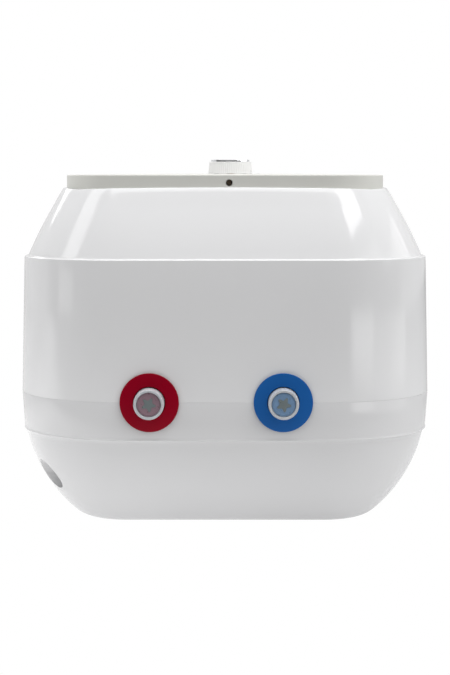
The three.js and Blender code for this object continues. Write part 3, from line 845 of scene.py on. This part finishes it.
def threaded_pipe(side):
    """Pipe end with a G1/2 thread, and the thinner pipe that goes on into the tank."""
    a, b = low(f"{side}_pipe"), high(f"{side}_pipe")
    end, inner = -a.y, -b.y
    r, bore, neck = 10.48, 8.0, 118.0
    depth = 1.1
    start = end - 13.0

    def thread(radius, height, turn):
        if radius < r - 0.01 or height < start:
            return radius
        wave = abs(((height / THREAD_PITCH + turn / (2 * math.pi)) % 1) * 2 - 1)
        fade = min(1, (height - start) / 1.5, max(0.0, (end - height) / 0.8))
        return radius - depth * wave * fade

    parts = 90
    profile = [(6, inner), (7, inner), (7, neck - 0.5), (7.5, neck), (r - 0.5, neck), (r, neck + 0.5)]
    profile += [(r, start + (end - 1.0 - start) * i / parts) for i in range(parts + 1)]
    profile += [(r - 1.0, end), (bore + 0.3, end), (bore, end - 0.3), (bore, neck + 2), (6, neck + 1)]
    obj = turned(f"{side}_threaded_pipe", profile, (PIPE_X[side], 0, SEAM), "-Y", 96, thread, 50)
    return stand_in(obj, "stainless", "root", f"{side}_pipe")


def push_cap(side):
    """Translucent transport cap: a sleeve with a rounded rim round a sunk, star-ribbed disc."""
    a, b = low(f"{side}_cap"), high(f"{side}_cap")
    end, mouth = -a.y, -b.y
    place = (PIPE_X[side], 0, SEAM)
    face = end - CAP_SINK
    r, r_end = 11.45, 11.2
    profile = [(10.8, mouth), (r - 0.25, mouth), (r, mouth + 0.25), (r, end - 5)]
    profile += arc(r_end - 0.6, end - 0.6, 0.6, 5, 90, 5)
    profile += arc(CAP_DISC + 0.4, end - 0.4, 0.4, 90, 180, 4)
    profile += [(CAP_DISC, face - 0.6), (8.9, face - 0.6), (8.9, face - 1.3)]
    profile += [(CAP_DISC + 0.6, face - 2.4), (10.8, face - 3.6)]
    sleeve = turned(f"{side}_push_cap", profile, place, "-Y", 96)
    stand_in(sleeve, "milky_plastic", f"{side}_cap", f"{side}_cap")
    window = [(0, face - 1.3), (CAP_DISC - 0.5, face - 1.3), (CAP_DISC - 0.5, face - 0.2)]
    window += [(CAP_DISC - 0.7, face), (7.6, face), (7.5, face + 0.12), (7.1, face + 0.12)]
    window += [(7.0, face), (0, face)]
    disc = turned(f"{side}_cap_disc", window, place, "-Y", 96)
    stand_in(disc, "milky_plastic", f"{side}_cap")
    # The disc and the star get the dark colours: painted shade of the bore behind them.
    disc.data.materials[0] = LOOKS[f"{side}_disc"]
    star = cap_star(side, face)
    stand_in(star, "milky_plastic", f"{side}_cap")
    star.data.materials[0] = LOOKS["cap_star"]


def cap_star(side, face):
    """Hub and five ribs that stiffen the cap's disc."""
    bm = bmesh.new()
    outline = []
    for arm in range(5):
        for radius, offset in ((5.3, -7), (5.5, 0), (5.3, 7), (3.0, 36)):
            turn = math.radians(62 + 72 * arm) + math.radians(offset)
            x, y = radius * math.cos(turn), radius * math.sin(turn)
            outline.append(Vector((x, y, face - 0.1)) * MM)
    base = bm.faces.new([bm.verts.new(p) for p in outline])
    raised = bmesh.ops.extrude_face_region(bm, geom=[base])
    moved = [v for v in raised["geom"] if isinstance(v, bmesh.types.BMVert)]
    bmesh.ops.translate(bm, verts=moved, vec=(0, 0, 0.55 * MM))
    bm.transform(standing((PIPE_X[side], 0, SEAM), "-Y"))
    obj = from_bmesh(f"{side}_cap_star", bm)
    return soften(obj, every, 0.2, 3, 60)


# ---- small parts ------------------------------------------------------------------------------

SLOT_X = 45.0  # the two hook slots, either side of the middle


def wall_strap():
    """Steel strap with rounded corners, two rounded hook slots and two legs."""
    a, b = low("wall_bracket"), high("wall_bracket")
    centre_y = (a.y + b.y) / 2
    thick = 2.0
    plate = bmesh.new()
    block(plate, a.x, b.x, a.y, b.y, 0, thick)
    obj = from_bmesh("wall_strap", plate)

    def upright(edge):
        return abs(edge.verts[0].co.z - edge.verts[1].co.z) > 1 * MM

    def legs(bm):
        for x0 in (a.x, b.x - thick):
            block(bm, x0, x0 + thick, a.y + 3, b.y - 3, thick / 2, b.z)

    def left_slot(bm):
        long_slot(bm, -SLOT_X, centre_y)

    def right_slot(bm):
        long_slot(bm, SLOT_X, centre_y)

    soften(obj, upright, 3, 6)
    carve(obj, legs, how="UNION")
    carve(obj, left_slot, right_slot)
    return stand_in(obj, "zinc_steel", "root", "wall_bracket")


def long_slot(bm, x, y):
    """A slot 14 wide and 20 high with round ends."""
    outline = arc(x, y + 3, 7, 0, 180, 16) + arc(x, y - 3, 7, 180, 360, 16)
    lower = [bm.verts.new(Vector((px, py, -1)) * MM) for px, py in outline]
    face = bm.faces.new(lower)
    out = bmesh.ops.extrude_face_region(bm, geom=[face])
    moved = [v for v in out["geom"] if isinstance(v, bmesh.types.BMVert)]
    bmesh.ops.translate(bm, verts=moved, vec=(0, 0, 5 * MM))
    bmesh.ops.recalc_face_normals(bm, faces=bm.faces)


def gland():
    """Rubber bush with rounded flanges either side of the pocket's floor."""
    a, b = low("cable_grommet"), high("cable_grommet")
    centre = middle("cable_grommet")
    outer, inner = -a.x, -b.x
    profile = [(4, inner + 0.5), (4.5, inner), (7.5, inner), (8, inner + 0.5), (8, inner + 1.7)]
    profile += [(6, inner + 1.7), (6, outer - 2.35), (8.5, outer - 2.3)]
    profile += arc(7.3, outer - 1.2, 1.2, 0, 90, 5) + [(4.9, outer)]
    profile += arc(4.9, outer - 0.9, 0.9, 90, 180, 4)
    obj = turned("cable_bush", profile, (0, centre.y, centre.z), "-X", 64)
    return stand_in(obj, "black_rubber", "root", "cable_grommet")


def lamp_lens():
    """Amber lens with concentric steps."""
    bottom = low("indicator_lens").z
    face = high("indicator_lens").z - 0.45
    centre = middle("indicator_lens")
    r = 3.6
    steps = [(r - 0.5 - 0.5 * i, face + (0.1 if i % 2 else 0)) for i in range(6)]
    profile = [(0, bottom), (r, bottom), (r, face - 0.15), (r - 0.15, face)] + steps + [(0, face + 0.1)]
    obj = turned("signal_lens", profile, (centre.x, centre.y, 0), parts=48)
    return stand_in(obj, "amber_lens", "root", "indicator_lens")


def cross_screw():
    """Pan-head screw with a cross recess, in the panel's skirt."""
    head, tip = -low("panel_screw").y, -high("panel_screw").y
    seat = head - 1.7
    x, _, z = middle("panel_screw")
    long, wide = 1.1, 0.25  # half sizes of each slot of the cross
    profile = [(0, tip), (0.5, tip + 0.4), (1.25, tip + 1.6), (1.25, seat), (2.05, seat)]
    profile += [(2.05, seat + 0.7)] + arc(0.9, seat + 0.65, 1.15, 30, 80, 4) + [(0, head)]
    obj = turned("cover_screw", profile, (x, 0, z), "-Y", 48)

    def level_slot(bm):
        block(bm, x - long, x + long, -head - 1, -head + 0.9, z - wide, z + wide)

    def upright_slot(bm):
        block(bm, x - wide, x + wide, -head - 1, -head + 0.9, z - long, z + long)

    carve(obj, level_slot, upright_slot)
    return stand_in(obj, "dark_steel", "root", "panel_screw")


# ---- studio -----------------------------------------------------------------------------------

FLOOR_GREY = (0.4, 0.4, 0.4)
FLOOR_DARK = (0.04, 0.04, 0.04)  # its colour towards the camera
FLOOR_DARK_Y = (-0.62, -0.25)  # metres: all dark at the first, all grey at the second
FLOOR_GLOW = (1.08, 0.12)  # light that it gives off, at the left and at the right


def floor_look():
    """Plain white to the camera. To the heater it is a grey floor that gives off light.

    It turns dark towards the camera, and its light falls off to the right and to the back.
    """
    look = Look("studio_floor", FLOOR_GREY, 0.9, Specular_IOR_Level=0)
    across = look.add("ShaderNodeSeparateXYZ")
    look.join(look.place, across.inputs[0])
    near = look.spread(across.outputs["Y"], 0, 1, *FLOOR_DARK_Y)
    look.vary_color(near, FLOOR_DARK, FLOOR_GREY)
    look.shader.inputs["Emission Color"].default_value = (1, 1, 1, 1)
    glow = look.add("ShaderNodeMath", operation="MULTIPLY")
    look.join(near, glow.inputs[0])
    look.join(look.spread(across.outputs["X"], *FLOOR_GLOW, -0.6, 0.6), glow.inputs[1])
    dimmed = look.add("ShaderNodeMath", operation="MULTIPLY")
    look.join(glow.outputs[0], dimmed.inputs[0])
    look.join(look.spread(across.outputs["Y"], 1, 0.3, 0.0, 0.5), dimmed.inputs[1])
    look.join(dimmed.outputs[0], look.shader.inputs["Emission Strength"])
    seen = look.add("ShaderNodeLightPath").outputs["Is Camera Ray"]
    white = look.add("ShaderNodeEmission", Strength=1.0)
    mixed = look.add("ShaderNodeMixShader")
    look.join(seen, mixed.inputs[0])
    look.join(look.shader.outputs[0], mixed.inputs[1])
    look.join(white.outputs[0], mixed.inputs[2])
    look.join(mixed.outputs[0], look.tree.nodes["Material Output"].inputs["Surface"])
    return look.material


def studio_floor():
    """A plain square floor, 12 m across."""
    bm = bmesh.new()
    bmesh.ops.create_grid(bm, x_segments=8, y_segments=8, size=6)
    mesh = bpy.data.meshes.new("studio_floor")
    bm.to_mesh(mesh)
    bm.free()
    obj = bpy.data.objects.new("studio_floor", mesh)
    bpy.context.scene.collection.objects.link(obj)
    obj.data.materials.append(floor_look())


def area_light(name, place, target, size, power):
    """A white rectangular light aimed at a point. Sizes and places are in metres."""
    light = bpy.data.lights.new(name, "AREA")
    light.shape = "RECTANGLE"
    light.size, light.size_y = size
    light.energy = power
    obj = bpy.data.objects.new(name, light)
    obj.location = place
    aim = Vector(target) - Vector(place)
    obj.rotation_euler = aim.to_track_quat("-Z", "Y").to_euler()
    bpy.context.scene.collection.objects.link(obj)


# Brightness of the surroundings by the height of the direction: a dark horizon under a light dome.
# To the sides and behind the horizon is light too, from where the direction's Y passes SKY_TURN.
SKY = {0.0: 0.02, 0.06: 0.02, 0.25: 0.65, 0.85: 0.65, 1.0: 0.7}
SKY_TURN = -0.1


def sky_level(tree):
    """The level from SKY for each direction."""
    coords = tree.nodes.new("ShaderNodeTexCoord")
    split = tree.nodes.new("ShaderNodeSeparateXYZ")
    turned_away = tree.nodes.new("ShaderNodeMath")
    turned_away.operation = "SUBTRACT"
    turned_away.inputs[1].default_value = SKY_TURN
    height = tree.nodes.new("ShaderNodeMath")
    height.operation = "MAXIMUM"
    ramp = tree.nodes.new("ShaderNodeValToRGB")
    ramp.color_ramp.interpolation = "EASE"
    stops = ramp.color_ramp.elements
    while len(stops) < len(SKY):
        stops.new(0.5)
    for stop, (position, level) in zip(stops, SKY.items()):
        stop.position = position
        stop.color = (level, level, level, 1)
    tree.links.new(coords.outputs["Generated"], split.inputs[0])
    tree.links.new(split.outputs["Y"], turned_away.inputs[0])
    tree.links.new(turned_away.outputs[0], height.inputs[0])
    tree.links.new(split.outputs["Z"], height.inputs[1])
    tree.links.new(height.outputs[0], ramp.inputs["Fac"])
    return ramp.outputs["Color"]


def studio_world():
    """Plain white to the camera. What lights the heater is a light dome with a dark horizon."""
    world = bpy.data.worlds.new("studio")
    bpy.context.scene.world = world
    world.use_nodes = True
    tree = world.node_tree
    back = tree.nodes["Background"]
    back.inputs["Color"].default_value = (1, 1, 1, 1)
    seen = tree.nodes.new("ShaderNodeLightPath").outputs["Is Camera Ray"]
    plain = tree.nodes.new("ShaderNodeMix")
    plain.inputs["B"].default_value = 1.0
    tree.links.new(seen, plain.inputs["Factor"])
    tree.links.new(sky_level(tree), plain.inputs["A"])
    tree.links.new(plain.outputs["Result"], back.inputs["Strength"])


CAMERA_LENS = 86.5
CAMERA_PLACE = (0, -1.360, 0.2667)
CAMERA_DOWN = 5.616  # degrees below the level


def camera():
    """The view in the photograph: the side with the pipes, from a little above."""
    data = bpy.data.cameras.new("camera")
    data.sensor_width = 36
    data.lens = CAMERA_LENS
    obj = bpy.data.objects.new("camera", data)
    obj.location = CAMERA_PLACE
    obj.rotation_euler = (math.radians(90 - CAMERA_DOWN), 0, 0)
    bpy.context.scene.collection.objects.link(obj)
    bpy.context.scene.camera = obj


def softbox(name, azimuth, elevation, distance, size, radiance):
    """An area light aimed at the heater's front, placed by its direction from there.

    Azimuth is 0 towards the camera and grows to the right.
    """
    target = Vector((0, -0.1, 0.2))
    a, e = math.radians(azimuth), math.radians(elevation)
    away = Vector((math.sin(a) * math.cos(e), -math.cos(a) * math.cos(e), math.sin(e)))
    power = radiance * math.pi * size[0] * size[1]
    area_light(name, target + away * distance, target, size, power)


def lights():
    """A large key from above, softboxes to both sides and low strips for the belt."""
    softbox("left_softbox", -77, 42, 1.6, (0.45, 1.1), 3.0)
    softbox("right_softbox", 60, 53.5, 1.6, (0.55, 0.45), 5.2)
    softbox("rim_softbox", -141, 25.5, 2.2, (0.8, 0.5), 3.0)
    softbox("left_strip", -69, 2, 1.8, (0.55, 0.2), 1.25)
    softbox("right_strip", 43, -3, 1.8, (0.8, 0.2), 1.5)
    softbox("overhead_softbox", 0, 82, 1.6, (1.4, 1.1), 3.3)
    softbox("right_fill", 60, 24, 2.0, (1.2, 1.0), 1.0)
    softbox("right_side_fill", 95, 17, 2.0, (2.0, 0.8), 1.2)
    softbox("right_low", 66, -5.5, 1.3, (1.6, 0.15), 1.1)


dress_frame()
rear_casing()
front_casing()
front_cover()
knob_body()
knob_insert()
knob_pointer()
dial_dots()
for pipe_side in ("hot", "cold"):
    collar(pipe_side)
    threaded_pipe(pipe_side)
    push_cap(pipe_side)
wall_strap()
gland()
lamp_lens()
cross_screw()
studio_floor()
studio_world()
lights()
camera()
bpy.context.scene.view_settings.view_transform = "Standard"

bpy.context.view_layer.update()
